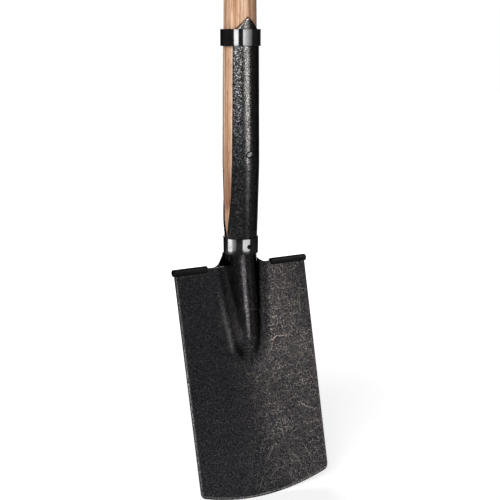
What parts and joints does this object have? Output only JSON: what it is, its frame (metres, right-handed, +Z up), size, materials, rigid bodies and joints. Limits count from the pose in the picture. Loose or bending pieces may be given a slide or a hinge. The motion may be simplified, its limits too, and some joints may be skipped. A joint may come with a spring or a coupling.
{
  "type": "grubbing spade",
  "caption": "Strapped grubbing spade: forged blade with pressed frog and treads, ringed straps on an ash shaft, T-grip; digs and pries out roots.",
  "frame": {"origin": "on the shaft's axis, in the middle of the parallel stretch that a tool clip holds", "axes": "+Z up the shaft to the grip, X across the blade's width, -Y towards the front (soil) face"},
  "size_m": [0.1906, 0.0947, 1.1665],
  "materials": {
    "blade_steel": "dark oiled steel with fine scratches",
    "forge_black": "grainy forge black",
    "tread_black": "satin black",
    "ring_black": "gloss black",
    "ash": "waxed ash, straight grain",
    "wedge_wood": "oiled hardwood",
    "pin_steel": "plain steel"
  },
  "bodies": {
    "root": {"blade": "blade_steel", "rear_strap": "forge_black", "left_tread": "tread_black", "right_tread": "tread_black", "lower_ring": "ring_black", "upper_ring": "ring_black", "strap_rivet": "forge_black", "ring_pin": "forge_black", "shaft": "ash", "grip_bar": "ash", "grip_wedge": "wedge_wood", "grip_pin": "pin_steel"}
  },
  "joints": []
}
